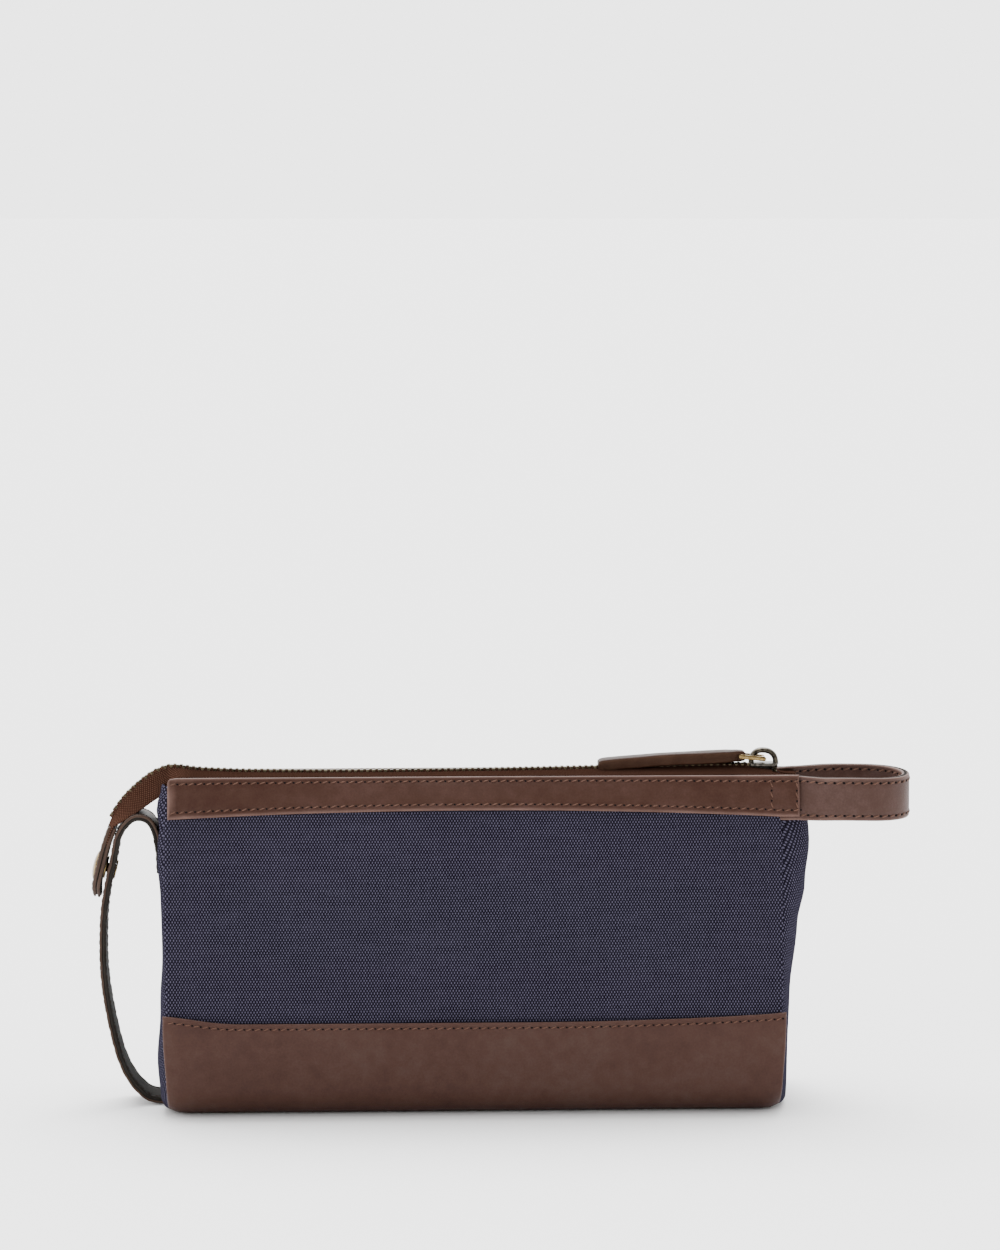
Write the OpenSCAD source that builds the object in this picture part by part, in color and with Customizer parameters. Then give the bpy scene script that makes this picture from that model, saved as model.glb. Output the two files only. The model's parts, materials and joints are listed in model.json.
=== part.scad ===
// Shaving kit bag: canvas body, leather base and bands, metal zip with a snapped tail tab.
// Front faces -Y, X runs along the mouth, the base rests on z = 0 and is centred on the origin.

/* [Body] */
// Length of the front panel between its end seams
body_l = 260; // [256:1:264]
// Depth of the base, front to back
base_d = 82; // [80:1:86]
// Height of the two bands' top edges
body_h = 140; // [139:0.5:141]
// Height of the leather base cover's upper edge
base_h = 40; // [36:1:46]
// Distance between the bands' outer faces along the mouth
mouth_w = 31; // [30:1:33]
// Distance from the left end seam to the bands' right ends
band_l = 267.8; // [266:0.2:269]

/* [Materials] */
// Thickness of the base cover and the bands
leather_t = 1.8; // [1.4:0.1:2]
// Thickness of the canvas
canvas_t = 1.4; // [1:0.1:1.4]
// Thickness of the lining
lining_t = 0.8; // [0.5:0.1:0.8]
// Thickness of the stiffening board in the base
board_t = 2.2; // [1.5:0.1:2.2]

/* [Zip] */
// Distance from one tooth to the next on one tape
tooth_pitch = 2.5; // [2.4:0.05:2.6]
// Width of the joined teeth
chain_w = 5.9; // [5.6:0.1:6.2]
// Height of a tooth
tooth_h = 2.6; // [2.2:0.1:2.8]
// Width of each tape, from its edge to the teeth
tape_w = 11.2; // [10:0.1:11.4]
// Thickness of the tapes
tape_t = 0.7; // [0.5:0.1:0.9]
// Length of the slider
slider_l = 12; // [11:0.5:12.5]
// Width of the slider
slider_w = 9.4; // [9:0.1:9.8]
// Length of the leather pull
pull_l = 61; // [50:1:62]
// Width of the leather pull
pull_w = 10; // [8:0.5:12]

/* [Straps] */
// Width of the side strap and the tail tab
strap_w = 22; // [18:1:24]
// Height of the carry loop's strap
loop_w = 18.2; // [16:0.2:19]
// Distance from the bag's middle to the carry loop's far end
loop_reach = 186.6; // [184:0.2:190]
// Diameter of the snap's cap
snap_d = 12.5; // [11:0.1:13]

/* [Hidden] */
$fn = 48;

half_l = body_l/2;
gap = 0.2;                                // clearance between sewn layers
corner_r = 12;                            // canvas radius where the wall turns under
corner_z = corner_r + gap + leather_t;    // height of that radius's centre
base_half = base_d/2 - gap - leather_t;   // canvas half depth at the base
top_half = mouth_w/2 - gap - leather_t - 0.3;
band_end = band_l - half_l;
panel_end = half_l - 0.5;

zip_z = body_h + 0.6;
zip_end = half_l - 2.6;                   // right-hand end of the mouth's tapes
tape_edge = top_half - 0.4;
slider_x = half_l - 6;                    // the parked slider's middle
teeth_end = slider_x - 4.6;
tab_t = 3.6;
strap_t = 2.7;
snap_tilt = 14;                           // lean of the tab and its snap from upright
cap_at = [-half_l - 29, body_h - 38.8];   // snap's centre on the tab's outer face
tab_hinge = [-half_l - 23.6, body_h - 20.2];
tab_l = 32;
loop_axis = [band_end + 0.4, body_h - 9.9];

// Half width of the seam under the band, and its height, along the bag
function mix(a, b, t) = a + (b - a)*t;
function along(x) = min(1, abs(x)/half_l);
function seam_half(x) = mix(21.3, 17.2, pow(along(x), 2));
function seam_z(x) = body_h - mix(13.7, 17.7, pow(along(x), 2));

// Half depth of the canvas wall at a height, taken inward by an offset
function wall(x, z, inset) =
  z < corner_z ? base_half - corner_r + sqrt(max(0, pow(corner_r - inset, 2) - pow(corner_z - z, 2)))
  : z < base_h ? base_half - inset
  : z < seam_z(x) ?
    mix(base_half, seam_half(x), pow((z - base_h)/(seam_z(x) - base_h), 1.3)) - inset
  : mix(seam_half(x), top_half, (z - seam_z(x))/(body_h - seam_z(x))) - inset;

// How far each end bulges beyond its seams, by height
left_bulge = [[2, 0.8], [6, 2.6], [22, 3.6], [43, 2.2], [65, 0.7], [90, 1.5], [119, 2], [134, 0.6]];
right_bulge = [[2, 3.2], [24, 3.7], [48, 4.9], [76, 8.5], [93, 11.4], [110, 12.1], [122, 10], [134, 6]];

// Smooth curve through points, some steps to a span
function spline(p, steps) = [for (i = [0:len(p) - 2], k = [0:steps - 1])
  let (a = p[max(i - 1, 0)], b = p[i], c = p[i + 1], d = p[min(i + 2, len(p) - 1)], t = k/steps)
  0.5*(2*b + (c - a)*t + (2*a - 5*b + 4*c - d)*t*t + (3*b - a - 3*c + d)*t*t*t),
  p[len(p) - 1]];
function unit(v) = v/norm(v);
function heading(p, i) = unit(p[min(i + 1, len(p) - 1)] - p[max(i - 1, 0)]);
function side_of(p, i) = let (h = heading(p, i)) [-h[1], h[0]];

// Side strap's middle line in X and Z, from the gusset's top over an arch and down to the base
strap_route = [for (p = [[4.2, 103], [4.9, 112], [7, 119], [10.4, 122.3], [14, 121], [18.4, 115.5],
  [21.7, 104], [24.1, 94], [26, 81], [26.5, 65], [25.8, 51.6], [23.7, 38], [20.6, 24], [17.4, 15],
  [13.6, 8.6], [9.3, 4.1], [6, 2.2], [3.6, 1.7]]) [-half_l - p[0], p[1] + body_h - 140]];
strap_line = spline(strap_route, 3);

// Zip tail's ridge in X and Z, from the bag's end to the tab
tail_line = spline([[-half_l - 2.2, body_h + 0.9], [-half_l - 7.1, body_h - 2], [-half_l - 12.7, body_h - 6.7],
  [-half_l - 16.9, body_h - 10.9], [-half_l - 20.6, body_h - 15.6], [-half_l - 22.4, body_h - 18]], 3);

// Closed solid through rings of equally many points
module loft(rings) {
  n = len(rings[0]);
  last = len(rings) - 1;
  polyhedron(points = [for (r = rings) each r],
    faces = concat([[for (i = [0:n - 1]) i]],
      [for (j = [0:last - 1], i = [0:n - 1]) each let (a = j*n, b = a + n, k = (i + 1)%n)
        [[a + i, b + i, b + k], [a + i, b + k, a + k]]],
      [[for (i = [n - 1:-1:0]) last*n + i]]));
}

// Wall cloth over the front between two insets, following given heights at each station
function sheet_ring(x, heights, outer, inner) = concat(
  [for (z = heights) [x, -wall(x, z, inner), z]],
  [for (i = [len(heights) - 1:-1:0]) [x, -wall(x, heights[i], outer), heights[i]]]);
module front_sheet(end, heights, outer, inner) {
  steps = 12;
  loft([for (i = [0:steps]) sheet_ring(mix(-end, end, i/steps), heights, outer, inner)]);
}

// End cloth between the front and rear walls, at an inset from the canvas's outer face
module end_sheet(side, bulge, heights, inset, thick) {
  edge = inset + canvas_t + 0.3;
  steps = 8;
  mirror([side < 0 ? 1 : 0, 0, 0])
    loft([for (z = heights) concat(
      [for (i = [0:steps]) let (w = mix(-1, 1, i/steps))
        [panel_end - inset + lookup(z, bulge)*(1 - w*w), w*wall(half_l, z, edge), z]],
      [for (i = [steps:-1:0]) let (w = mix(-1, 1, i/steps))
        [panel_end - inset - thick + lookup(z, bulge)*(1 - w*w), w*wall(half_l, z, edge), z]])]);
}

canvas_heights = [32, 40, 52, 64, 76, 88, 100, 112, 122, 126.5, 131];
lining_heights = concat([6, 9, 14, 22], canvas_heights);
end_heights = [2.3, 5, 9, 14, 24, 34, 48, 62, 76, 93, 110, 122, 134];
end_lining_heights = [for (z = end_heights) if (z > 5) z];

module front_panel() color("#363341") front_sheet(panel_end + 0.5, canvas_heights, 0, canvas_t);
module rear_panel() mirror([0, 1, 0]) front_panel();
module left_gusset() color("#3f3c4b") end_sheet(-1, left_bulge, end_heights, 0, canvas_t);
module right_gusset() color("#3f3c4b") end_sheet(1, right_bulge, end_heights, 0, canvas_t);

module front_lining() color("#4a4038")
  front_sheet(panel_end - canvas_t - 0.5, lining_heights, canvas_t + gap, canvas_t + gap + lining_t);
module rear_lining() mirror([0, 1, 0]) front_lining();
module left_lining() color("#4a4038")
  end_sheet(-1, left_bulge, end_lining_heights, canvas_t + gap, lining_t);
module right_lining() color("#4a4038")
  end_sheet(1, right_bulge, end_lining_heights, canvas_t + gap, lining_t);
module base_lining() color("#4a4038")
  translate([-half_l + 3.5, -30, corner_z - 9.4]) cube([body_l - 7, 60, lining_t]);

// Upright trough outline, open at the top
module trough(half, r) {
  translate([-half, corner_z]) square([2*half, base_h - corner_z]);
  translate([r - half, corner_z - r]) square([2*(half - r), r + 0.1]);
  for (s = [-1, 1]) translate([s*(half - r), corner_z]) circle(r, $fn = 64);
}
module base_cover() color("#563f39")
  rotate([90, 0, 90]) translate([0, 0, -panel_end]) linear_extrude(2*panel_end) difference() {
    trough(base_half + gap + leather_t, corner_z);
    trough(base_half + gap, corner_r + gap);
    translate([-base_half, base_h - 1]) square([2*base_half, 2]);
  }
module base_board() color("#b9a384")
  translate([-half_l + 4, -27, leather_t + 0.3]) cube([body_l - 8, 54, board_t]);

module front_band() color("#583d35") {
  lift = 0.3;
  steps = 12;
  loft([for (i = [0:steps]) let (x = mix(-panel_end, band_end, i/steps))
    sheet_ring(x, [for (k = [0:3]) mix(seam_z(x) + lift, body_h, k/3)], -gap - leather_t, -gap)]);
}
module rear_band() mirror([0, 1, 0]) front_band();

// Carry loop: strap on edge, out from one band and back to the other
loop_r = 17.4;
loop_turn = loop_reach - loop_r - 1.7;
function loop_half() = concat(
  spline([[loop_axis[0] + 2.8, -14.8], [loop_axis[0] + 9, -16.6],
    [loop_axis[0] + 18, -loop_r], [loop_turn, -loop_r]], 3),
  [for (a = [-80:10:0]) [loop_turn + loop_r*cos(a), loop_r*sin(a)]]);
loop_line = concat(loop_half(), [for (i = [len(loop_half()) - 2:-1:0])
  [loop_half()[i][0], -loop_half()[i][1]]]);
module loop_layer(near, far) {
  low = loop_axis[1] - loop_w/2;
  loft([for (i = [0:len(loop_line) - 1]) let (p = loop_line[i], s = side_of(loop_line, i))
    [[each p - s*near, low], [each p - s*near, low + loop_w],
     [each p - s*far, low + loop_w], [each p - s*far, low]]]);
}
module loop_outer() color("#6a514a") loop_layer(0.05, 1.7);
module loop_lining() color("#4c3730") loop_layer(-1.6, -0.05);
module loop_anchors() color("#5d4038")
  for (s = [-1, 1]) scale([1, s, 1]) translate([band_end - 3.2, -13.5, loop_axis[1] - loop_w/2 + 2])
    cube([3, 1.6, loop_w - 3.4]);

// Side strap, a leather outer and its lining, on edge in X and Z
module strap_layer(near, far) loft([for (i = [0:len(strap_line) - 1])
  let (p = strap_line[i], s = side_of(strap_line, i), a = p - s*near, b = p - s*far)
  [[a[0], -strap_w/2, a[1]], [b[0], -strap_w/2, b[1]], [b[0], strap_w/2, b[1]], [a[0], strap_w/2, a[1]]]]);
module side_strap() color("#594c46") strap_layer(0.1, strap_t/2);
module side_strap_lining() color("#2c2927") strap_layer(-strap_t/2, 0);

// Snap: everything on one axis, which leans with the tab; z = 0 at the tab's outer face
module on_snap() translate([cap_at[0], 0, cap_at[1]]) rotate([0, -90 + snap_tilt, 0]) children();
strap_face = -tab_t - 1.35;                // the strap's outer face under the snap
module snap_cap() color("#c9b78e") on_snap() {
  difference() {
    translate([0, 0, 0.1]) cylinder(h = 0.9, d1 = snap_d, d2 = snap_d - 1);
    translate([0, 0, 0.6]) cylinder(h = 1, d = snap_d - 3);
  }
  translate([0, 0, 0.5]) cylinder(h = 0.7, d1 = snap_d - 3, d2 = snap_d - 6);
  translate([0, 0, -2.3]) cylinder(h = 2.5, d = 4);
}
module snap_socket() color("#b8a67e") on_snap() translate([0, 0, -tab_t - 0.7]) difference() {
  cylinder(h = 1.9, d = 9.6);
  translate([0, 0, -0.1]) cylinder(h = 1.6, d = 5.4);
}
module snap_stud() color("#b8a67e") on_snap() translate([0, 0, strap_face]) {
  cylinder(h = 0.25, d = 8);
  cylinder(h = 1.7, d = 4);
}
module snap_eyelet() color("#b8a67e") on_snap() translate([0, 0, strap_face - strap_t - 0.9])
  difference() {
    cylinder(h = 0.7, d = 8);
    translate([0, 0, -0.1]) cylinder(h = 1, d = 3.2);
  }

// Tab layer: z = 0 at the outer face, x up towards the hinge, lower end round
hinge_gap = 2.6;
module tab_layer(top, thick, bore) on_snap() translate([0, 0, -top - thick]) difference() {
  reach = norm(cap_at - tab_hinge);
  below = tab_l - reach;
  union() {
    translate([strap_w/2 - below, -strap_w/2, 0]) cube([tab_l - strap_w/2 - hinge_gap, strap_w, thick]);
    translate([strap_w/2 - below, 0, 0]) cylinder(h = thick, d = strap_w);
  }
  translate([0, 0, -1]) cylinder(h = thick + 2, d = bore);
}
module tab_outer() color("#5d4640") tab_layer(0, 1.8, 4.3);
module tab_inner() color("#553b34") tab_layer(2, tab_t - 2, 10);

// Zip tail: each tape hangs from the ridge beside the bag and spreads flat at the tab
function droop(t) = mix(78, 8, pow(t, 1.8));
function tail_width(t) = mix(6, strap_w/2 - 3, sqrt(t));
module tail_tape() {
  last = len(tail_line) - 1;
  lead = [0, -1, 0];
  loft([for (i = [0:last])
    let (t = i/last, p = tail_line[i], d = side_of(tail_line, i), a = droop(t),
      down = [d[0], 0, d[1]], near = [p[0], 0, p[1]] + 2.5*lead + 0.6*down,
      far = near + tail_width(t)*(cos(a)*lead + sin(a)*down), thick = tape_t*(sin(a)*lead - cos(a)*down))
    [near, near - thick, far - thick, far]]);
}
module tail_front_tape() color("#6c5147") tail_tape();
module tail_rear_tape() color("#6c5147") mirror([0, 1, 0]) tail_tape();
module tail_teeth() color("#a8935f") loft([for (i = [0:len(tail_line) - 3])
  let (p = tail_line[i], n = side_of(tail_line, i), low = p + n, high = p - 1.3*n)
  [[low[0], -1.4, low[1]], [high[0], -chain_w/3, high[1]],
   [high[0], chain_w/3, high[1]], [low[0], 1.4, low[1]]]]);
module bottom_stop() color("#a8935f")
  translate([tail_line[len(tail_line) - 1][0], 0, tail_line[len(tail_line) - 1][1]])
  rotate([0, 60, 0]) translate([-0.9, -2, -0.3]) cube([1.5, 4, 1.6]);

// Mouth: tapes lie flat between the bands, teeth along their inner edges
module mouth_tape() translate([-half_l + 1.4, -tape_edge, zip_z - tape_t/2])
  cube([zip_end + half_l - 1.4, min(tape_w, tape_edge - 1.6), tape_t]);
module front_zip_tape() color("#432e28") difference() {
  mouth_tape();
  teeth_slot();
}
module rear_zip_tape() color("#432e28") difference() {
  mirror([0, 1, 0]) mouth_tape();
  mirror([0, 1, 0]) teeth_slot();
}
module teeth_slot() translate([-half_l, -chain_w/2 - gap, zip_z - 2]) cube([zip_end + half_l + 1, chain_w, 4]);
module teeth_row(shift) {
  tooth_t = tooth_pitch/2 - 0.15;
  count = floor((teeth_end + half_l - 3)/tooth_pitch);
  translate([0, 0, zip_z - tooth_h/2]) linear_extrude(tooth_h) {
    translate([teeth_end - count*tooth_pitch - 0.6, -chain_w/2]) square([count*tooth_pitch + 1.2, 0.9]);
    for (i = [0:count - 1]) translate([teeth_end - (i + shift)*tooth_pitch - tooth_t, -chain_w/2])
      square([tooth_t, chain_w/2 + 0.9]);
  }
}
module front_zip_teeth() color("#a8935f") teeth_row(0);
module rear_zip_teeth() color("#a8935f") mirror([0, 1, 0]) teeth_row(0.5);
module zip_end_tapes() color("#432e28") for (s = [-1, 1])
  scale([1, s, 1]) translate([zip_end + 0.3, stop_y + stop_web + 0.1, zip_z - tape_t/2])
    cube([band_end - zip_end - 1, tape_edge - stop_y - stop_web - 0.1, tape_t]);
stop_l = 1.6;
stop_w = 1.8;
stop_h = 2.4;
stop_y = 1.4;      // inner face of a stop
stop_web = 0.6;    // its part inside the tape's edge
module top_stops() color("#a8935f") for (s = [-1, 1]) scale([1, s, 1])
  translate([zip_end + 0.6, stop_y, zip_z - stop_h/2])
  difference() {
    cube([stop_l, stop_w, stop_h]);
    translate([-1, stop_web, (stop_h - tape_t)/2 - 0.05]) cube([stop_l + 2, stop_w, tape_t + 0.1]);
  }

// Slider: two plates with turned-in flanges, a wedge between them and a crown for the link
plate_t = 1.3;
channel = tooth_h + 0.6;
module slider_plate() linear_extrude(plate_t) hull() {
  for (s = [-1, 1]) {
    translate([-slider_l/2 + 1.2, s*(slider_w/2 - 1.6)]) circle(1.2);
    translate([slider_l/2 - 1.8, s*(slider_w/2 - 1.8)]) circle(1.8);
  }
}
module slider_body() color("#6f6a63") translate([slider_x, 0, zip_z]) {
  translate([0, 0, channel/2]) slider_plate();
  translate([0, 0, -channel/2 - plate_t]) slider_plate();
  translate([slider_l/2 - 3.2, 0, -channel/2 - 0.1]) linear_extrude(channel + 0.2)
    polygon([[-3, 0], [0, -1.3], [3, -0.8], [3, 0.8], [0, 1.3]]);
  for (s = [-1, 1], up = [0, 1]) mirror([0, 0, up])
    translate([-slider_l/2 + 1.6, s > 0 ? slider_w/2 - 1.2 : -slider_w/2 + 0.4, -channel/2 - 0.1])
      cube([slider_l - 3.4, 0.8, channel/2 - 0.6]);
}
crown_foot = zip_z + channel/2 + plate_t;
crown_t = 1.8;
crown_h = body_h + 9.4 - crown_foot;
module arch_outline(length, height, r) {
  translate([-length/2, 0]) square([length, height - r]);
  translate([r - length/2, 0]) square([length - 2*r, height]);
  for (s = [-1, 1]) translate([s*(length/2 - r), height - r]) circle(r);
}
module slider_crown() color("#4a443d") translate([slider_x, 1.3, crown_foot]) rotate([90, 0, 0])
  linear_extrude(2.6) difference() {
    arch_outline(slider_l - 0.4, crown_h, 2.9);
    translate([0, -0.1]) arch_outline(slider_l - 0.4 - 2*crown_t, crown_h - crown_t + 0.1, 1.8);
  }

// Link: two side plates joined by two round bars, one under the crown, one in the pull's fold
link_r = 0.7;
link_half = 3.6;
plate_r = 0.95;
link_at = [slider_x, body_h + 5.4];
link_l = 9.7;
pull_at = [link_at[0] - link_l, link_at[1] + 1];
link_dip = atan((pull_at[1] - link_at[1])/link_l);
module pull_link() color("#c8b48a") translate([link_at[0], 0, link_at[1]]) rotate([0, link_dip, 0]) {
  reach = link_l/cos(link_dip);
  for (x = [0, -reach]) translate([x, link_half, 0]) rotate([90, 0, 0]) cylinder(h = 2*link_half, r = link_r);
  for (s = [-1, 1]) translate([0, s*link_half + 0.6, 0]) rotate([90, 0, 0]) linear_extrude(1.2) {
    translate([-reach, -plate_r]) square([reach, 2*plate_r]);
    for (x = [0, -reach]) translate([x, 0]) circle(plate_r);
  }
}

// Pull: one strip folded round the link's bar, its two legs sewn face to face
pull_t = 1.55;
pull_eye = link_r + 0.2;
fold_w = 2*link_half - 1.6;               // the fold fits between the link's side plates
shoulder = 1.6;                           // full width starts this far behind the bar
rivet_x = -7;
leg_h = 2*pull_t + 0.6;
module leather_pull() color("#523d33") translate([pull_at[0], 0, pull_at[1]])
  rotate([0, -2.6, 0]) difference() {
  union() {
    rotate([90, 0, 0]) cylinder(h = fold_w, r = pull_eye + pull_t, center = true);
    translate([-shoulder - 1, -fold_w/2, -leg_h/2]) cube([shoulder + 1, fold_w, leg_h]);
    translate([0, 0, -leg_h/2]) linear_extrude(leg_h) hull() {
      translate([-shoulder - 1, -fold_w/2]) square([1, fold_w]);
      translate([-shoulder - 4, -pull_w/2]) square([1, pull_w]);
      for (s = [-1, 1]) translate([-pull_l + 5, s*(pull_w/2 - 2.5)]) circle(2.5);
    }
  }
  rotate([90, 0, 0]) cylinder(h = pull_w, r = pull_eye, center = true);
  translate([rivet_x, 0, 0]) cylinder(h = 2*leg_h, r = 1.15, center = true);
}
module pull_rivet() color("#c8b48a") translate([pull_at[0], 0, pull_at[1]]) rotate([0, -2.6, 0])
  translate([rivet_x, 0, 0]) {
    cylinder(h = leg_h + 0.2, r = 1, center = true);
    for (s = [-1, 1]) translate([0, 0, s*(leg_h/2 + 0.3)]) cylinder(h = 0.5, r = 1.7, center = true);
  }

front_panel();
rear_panel();
left_gusset();
right_gusset();
base_cover();
base_board();
front_band();
rear_band();
front_lining();
rear_lining();
left_lining();
right_lining();
base_lining();
loop_anchors();
zip_end_tapes();
top_stops();
side_strap();
side_strap_lining();
snap_stud();
snap_eyelet();
front_zip_tape();
front_zip_teeth();
rear_zip_tape();
rear_zip_teeth();
slider_body();
slider_crown();
pull_link();
leather_pull();
pull_rivet();
tail_front_tape();
tail_rear_tape();
tail_teeth();
bottom_stop();
tab_outer();
tab_inner();
snap_cap();
snap_socket();
loop_outer();
loop_lining();
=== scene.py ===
import json
import math
import bmesh
import bpy
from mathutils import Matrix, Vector, noise

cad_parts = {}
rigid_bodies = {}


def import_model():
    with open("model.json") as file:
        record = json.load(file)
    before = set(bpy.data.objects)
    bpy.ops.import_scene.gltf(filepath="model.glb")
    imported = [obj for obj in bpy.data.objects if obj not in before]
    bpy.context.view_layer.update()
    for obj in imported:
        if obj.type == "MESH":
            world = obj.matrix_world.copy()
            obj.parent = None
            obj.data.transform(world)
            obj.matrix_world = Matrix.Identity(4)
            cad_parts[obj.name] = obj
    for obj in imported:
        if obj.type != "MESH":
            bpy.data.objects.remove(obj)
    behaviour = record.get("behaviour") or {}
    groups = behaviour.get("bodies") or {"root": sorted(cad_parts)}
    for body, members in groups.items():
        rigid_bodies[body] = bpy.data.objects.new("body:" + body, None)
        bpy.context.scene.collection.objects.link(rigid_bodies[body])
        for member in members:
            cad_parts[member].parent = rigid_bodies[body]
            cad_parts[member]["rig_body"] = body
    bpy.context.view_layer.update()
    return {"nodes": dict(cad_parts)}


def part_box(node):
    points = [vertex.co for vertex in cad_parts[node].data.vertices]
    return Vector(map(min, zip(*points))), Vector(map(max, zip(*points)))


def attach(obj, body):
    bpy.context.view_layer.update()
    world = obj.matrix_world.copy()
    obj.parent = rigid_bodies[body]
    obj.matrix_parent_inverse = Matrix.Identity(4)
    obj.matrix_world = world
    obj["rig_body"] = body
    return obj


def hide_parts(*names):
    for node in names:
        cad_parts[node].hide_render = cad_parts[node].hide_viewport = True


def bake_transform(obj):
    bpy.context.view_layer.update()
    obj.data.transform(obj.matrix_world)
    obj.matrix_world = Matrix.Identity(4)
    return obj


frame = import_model()
mm = 0.001  # lengths below are in millimetres, and a mesh is made in metres

# The bag's outer shape. Front is -Y, and the base stands on z = 0.
bag = {
    "halfLength": 130, "lowHalfLength": 128.4, "baseHalf": 39, "cornerRadius": 12, "cornerHeight": 14,
    "baseHeight": 40, "height": 140, "seamHalfMid": 21.3, "seamHalfEnd": 17.2,
    "seamDropMid": 13.7, "seamDropEnd": 17.7, "topHalf": 13.2, "canvas": 1.4, "lining": 0.8, "leather": 1.8,
}


def mixed(a, b, t):
    return a + (b - a) * t


def clamped(t):
    return max(0.0, min(1.0, t))


def eased(t):
    t = clamped(t)
    return t * t * (3 - 2 * t)


def lookup(table, x):
    if x <= table[0][0]:
        return table[0][1]
    for (x0, y0), (x1, y1) in zip(table, table[1:]):
        if x <= x1:
            return mixed(y0, y1, eased((x - x0) / (x1 - x0)))
    return table[-1][1]


def seamHalf(x):
    return mixed(bag["seamHalfMid"], bag["seamHalfEnd"], min(1, abs(x) / bag["halfLength"]) ** 2)


def seamHeight(x):
    return bag["height"] - mixed(bag["seamDropMid"], bag["seamDropEnd"],
                                 min(1, abs(x) / bag["halfLength"]) ** 2)


def wallHalf(x, z):  # half depth of the canvas wall's outer face
    seam = seamHeight(x)
    if z < bag["cornerHeight"]:
        r = bag["cornerRadius"]
        return bag["baseHalf"] - r + math.sqrt(max(0, r * r - (bag["cornerHeight"] - z) ** 2))
    if z < bag["baseHeight"]:
        return bag["baseHalf"]
    if z < seam:
        rise = (z - bag["baseHeight"]) / (seam - bag["baseHeight"])
        return mixed(bag["baseHalf"], seamHalf(x), rise ** 1.3)
    return mixed(seamHalf(x), bag["topHalf"], (z - seam) / (bag["height"] - seam))


def endX(z):  # where the front wall's end seams stand
    return mixed(bag["lowHalfLength"], bag["halfLength"], eased((z - 20) / 90))


def wander(x, y, z, size):  # smooth noise of about -1 to 1
    return noise.noise(Vector((x, y, z)) / size) * 1.6


# Mesh helpers

def ringFaces(i, count):  # faces between ring i of a tube and the next ring
    return [(i * count + k, i * count + (k + 1) % count, (i + 1) * count + (k + 1) % count,
             (i + 1) * count + k)
            for k in range(count)]


def makePiece(name, points, faces, materials, slots=None, uvs=None, wear=None):
    mesh = bpy.data.meshes.new(name)
    mesh.from_pydata([Vector(p) * mm for p in points], [], faces)
    for material in materials:
        mesh.materials.append(material)
    if slots:
        mesh.polygons.foreach_set("material_index", slots)
    if uvs:
        layer = mesh.uv_layers.new(name="UVMap")
        for loop in mesh.loops:
            layer.data[loop.index].uv = uvs[loop.vertex_index]
    if wear:
        mesh.attributes.new("wear", "FLOAT", "POINT").data.foreach_set("value", wear)
    bm = bmesh.new()
    bm.from_mesh(mesh)
    bmesh.ops.recalc_face_normals(bm, faces=bm.faces)
    bm.to_mesh(mesh)
    bm.free()
    mesh.shade_smooth()
    piece = bpy.data.objects.new(name, mesh)
    bpy.context.scene.collection.objects.link(piece)
    return piece


def spread(low, high, step, tight=(0.12, 0.35, 0.7, 1.2)):  # even stations, closer at both ends
    count = max(2, round((high - low) / step))
    inner = [low + (high - low) * i / count for i in range(1, count)]
    ends = [low + t for t in tight] + [high - t for t in tight]
    kept = [x for x in inner if low + tight[-1] * 1.3 < x < high - tight[-1] * 1.3]
    return sorted([low, high] + ends + kept)


def rounded(d, r):  # how far a face has dropped at a distance from a rounded edge
    return 0.0 if d >= r else r - math.sqrt(max(0.0, r * r - (r - d) ** 2))


def normalAt(mid, u, v):
    e = 0.04
    n = (mid(u + e, v) - mid(u - e, v)).cross(mid(u, v + e) - mid(u, v - e))
    return n.normalized()


def sheetPiece(name, mid, us, vs, thick, materials, turn=1, edge=0.45, uvOf=None, dent=None, edgeOf=None,
               rubbedAndSheen=None):
    # A closed sheet round the surface mid(u, v). Materials are face, rim and back.
    radius = min(edge, 0.48) * thick
    points, uvs, wear = [], [], []
    for face in (1, -1):
        for u in us:
            for v in vs:
                if edgeOf:
                    d = edgeOf(u, v)
                else:
                    d = min(u - us[0], us[-1] - u, v - vs[0], vs[-1] - v)
                p, n = mid(u, v), normalAt(mid, u, v) * turn
                half = thick / 2 - rounded(d, radius) - (dent(u, v) if dent and face > 0 else 0)
                points.append(p + n * half * face)
                uvs.append(uvOf(p, u, v) if uvOf else (u, v))
                # This value pales the leather near each edge, real edge wear with a painted edge highlight,
                # plus any painted highlight patch passed in.
                wear.append(clamped(1 - d / 1.1 + (rubbedAndSheen(u, v) if rubbedAndSheen else 0)))
    rows, cols = len(us), len(vs)
    faces, slots = [], []
    for side in (0, 1):
        base = side * rows * cols
        for i in range(rows - 1):
            for j in range(cols - 1):
                a = base + i * cols + j
                quad = (a, a + 1, a + cols + 1, a + cols)
                faces.append(quad if side == 0 else quad[::-1])
                slots.append(0 if side == 0 else 2)
    ring = [(i, 0) for i in range(rows)] + [(rows - 1, j) for j in range(1, cols)]
    ring += [(i, cols - 1) for i in range(rows - 2, -1, -1)] + [(0, j) for j in range(cols - 2, 0, -1)]
    for (i0, j0), (i1, j1) in zip(ring, ring[1:] + ring[:1]):
        a, b = i0 * cols + j0, i1 * cols + j1
        faces.append((a, b, b + rows * cols, a + rows * cols))
        slots.append(1)
    return makePiece(name, points, faces, materials, slots, uvs, wear)


def splineThrough(points, steps=8):
    out = []
    for i in range(len(points) - 1):
        a, b = Vector(points[max(i - 1, 0)]), Vector(points[i])
        c, d = Vector(points[i + 1]), Vector(points[min(i + 2, len(points) - 1)])
        for k in range(steps):
            t = k / steps
            out.append(0.5 * (2 * b + (c - a) * t + (2 * a - 5 * b + 4 * c - d) * t * t
                              + (3 * b - a - 3 * c + d) * t ** 3))
    return out + [Vector(points[-1])]


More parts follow.
